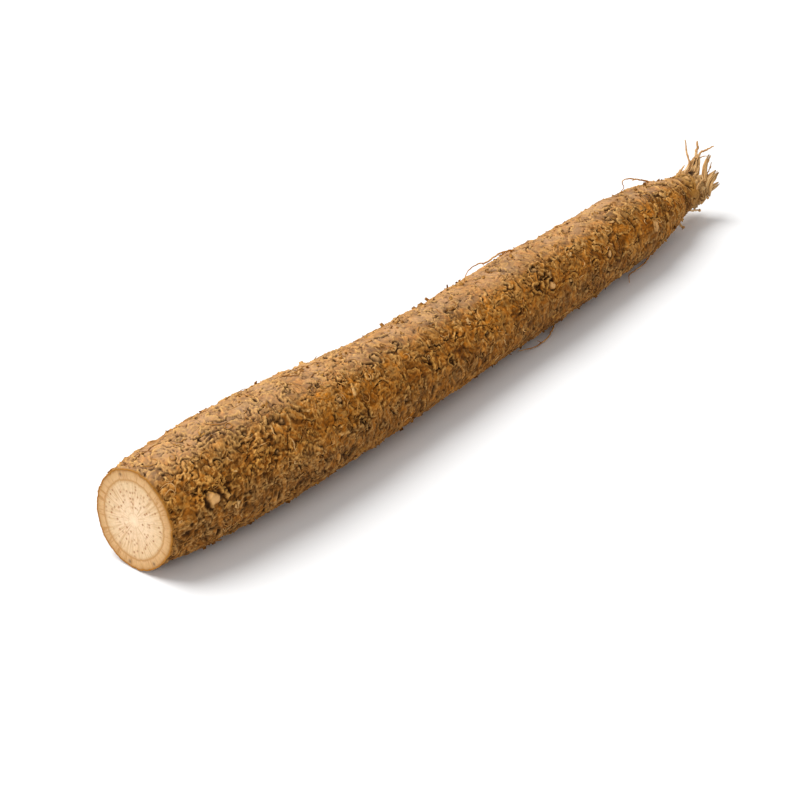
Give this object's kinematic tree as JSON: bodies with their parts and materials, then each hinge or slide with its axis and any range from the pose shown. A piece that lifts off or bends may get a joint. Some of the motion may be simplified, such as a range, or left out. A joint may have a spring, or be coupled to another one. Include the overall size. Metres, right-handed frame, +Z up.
{
  "type": "burdock root",
  "caption": "Long bowed taproot with scaly bark, cut square at its thick end, with torn stalk stubs, fibres and thin rootlets.",
  "frame": {"origin": "on the resting surface, under the middle of the whole root's box", "axes": "+X along the root from the knife cut to the crown, +Z up as the root lies on a flat surface, and the root bows towards -Y"},
  "size_m": [0.3234, 0.0378, 0.0357],
  "materials": {
    "root_skin": "matt corky brown bark, flaking, over cream flesh at the cut",
    "dry_stalk": "matt dry fibrous tan stalk",
    "rootlet_fibre": "matt dry orange-brown rootlet"
  },
  "bodies": {
    "root": {"taproot": "root_skin", "stalk_husk": "dry_stalk", "stalk_stub_tall": "dry_stalk", "stalk_stub_broad": "dry_stalk", "stalk_stub_lower": "dry_stalk", "stalk_stub_under": "dry_stalk", "stalk_stub_back": "dry_stalk", "stalk_stub_back_low": "dry_stalk", "husk_prong_upright": "dry_stalk", "husk_prong_leaning": "dry_stalk", "crown_fibre_long": "dry_stalk", "crown_fibre_short": "dry_stalk", "crown_fibre_low": "dry_stalk", "crown_fibre_back": "dry_stalk", "crown_fibre_beaded": "dry_stalk", "rootlet_1": "rootlet_fibre", "rootlet_2": "rootlet_fibre", "rootlet_3": "rootlet_fibre", "rootlet_4": "rootlet_fibre", "rootlet_5": "rootlet_fibre", "rootlet_6": "rootlet_fibre", "rootlet_7": "rootlet_fibre"}
  },
  "joints": []
}
